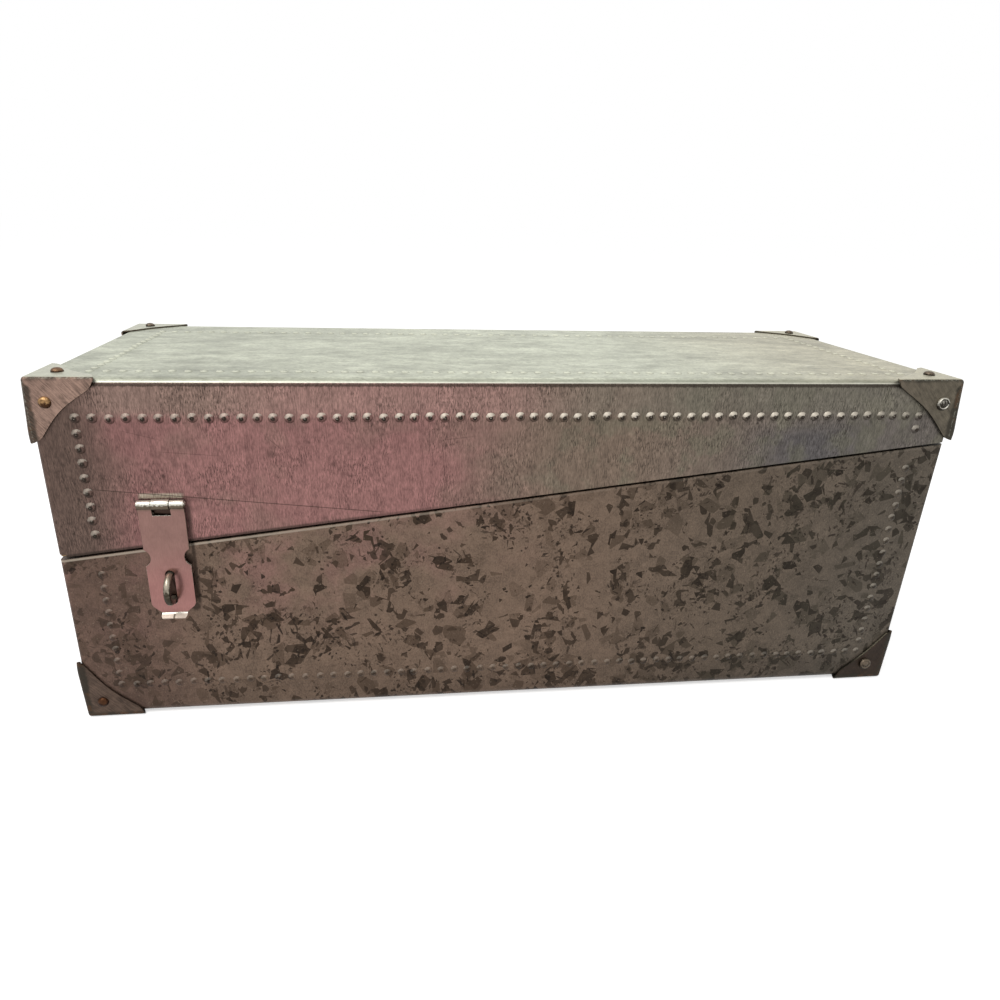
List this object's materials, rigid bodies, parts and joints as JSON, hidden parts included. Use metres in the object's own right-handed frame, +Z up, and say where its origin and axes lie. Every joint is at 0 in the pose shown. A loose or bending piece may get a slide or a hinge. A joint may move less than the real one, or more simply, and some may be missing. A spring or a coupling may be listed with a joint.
{
  "type": "metal storage box",
  "caption": "Long sheet-metal clad storage box with a slanted parting line, end-hinged lid, dimpled borders, nailed corner caps and a hasp and staple for a padlock.",
  "frame": {"origin": "on the floor under the middle of the box that bounds the whole object, staple, nails and hinge knuckles included", "axes": "+X along the length towards the hinged end, -Y towards the front with the hasp, +Z up"},
  "size_m": [0.5158, 0.1918, 0.208],
  "materials": {
    "brushed_sheet": "fine brushed zinc-coated sheet, satin, tarnished",
    "spangled_sheet": "spangled galvanised sheet, dull satin with dark crystals",
    "cap_steel": "pressed steel, scuffed and tarnished",
    "nail_brass": "brass-plated domes, tarnished and rusty",
    "plated_steel": "nickel-plated, satin, bright on the knuckles",
    "hinge_steel": "zinc-plated, satin",
    "timber": "bare softwood board"
  },
  "bodies": {
    "base": {"base_front_board": "timber", "base_back_board": "timber", "base_left_board": "timber", "base_right_board": "timber", "base_floor_board": "timber", "base_front_sheet": "spangled_sheet", "base_back_sheet": "spangled_sheet", "base_left_sheet": "spangled_sheet", "base_right_sheet": "spangled_sheet", "base_underside_sheet": "spangled_sheet", "base_cap_front_left": "cap_steel", "base_cap_front_right": "cap_steel", "base_cap_back_left": "cap_steel", "base_cap_back_right": "cap_steel", "base_cap_nails": "nail_brass", "staple_plate": "plated_steel", "padlock_staple": "plated_steel", "staple_screws": "plated_steel", "hinge_base_leaf_front": "hinge_steel", "hinge_base_leaf_back": "hinge_steel", "hinge_pin_front": "hinge_steel", "hinge_pin_back": "hinge_steel", "hinge_base_screws": "hinge_steel"},
    "lid": {"lid_top_board": "timber", "lid_front_board": "timber", "lid_back_board": "timber", "lid_left_board": "timber", "lid_right_board": "timber", "lid_top_sheet": "brushed_sheet", "lid_front_sheet": "brushed_sheet", "lid_back_sheet": "brushed_sheet", "lid_left_sheet": "brushed_sheet", "lid_right_sheet": "brushed_sheet", "lid_cap_front_left": "cap_steel", "lid_cap_front_right": "cap_steel", "lid_cap_back_left": "cap_steel", "lid_cap_back_right": "cap_steel", "lid_cap_nails": "nail_brass", "hinge_lid_leaf_front": "hinge_steel", "hinge_lid_leaf_back": "hinge_steel", "hinge_lid_screws": "hinge_steel", "hasp_leaf": "plated_steel", "hasp_leaf_screws": "plated_steel", "hasp_pin": "plated_steel"},
    "strap": {"hasp_strap": "plated_steel"}
  },
  "joints": [
    {"name": "lid_hinge", "type": "hinge", "parent": "base", "child": "lid", "pos_m": [0.25538, 0.00525, 0.16732], "axis": [0, 1, 0], "range_deg": [0, 180]},
    {"name": "hasp_hinge", "type": "hinge", "parent": "lid", "child": "strap", "pos_m": [-0.19742, -0.08475, 0.1372], "axis": [-1, 0, 0], "range_deg": [0, 175]}
  ]
}
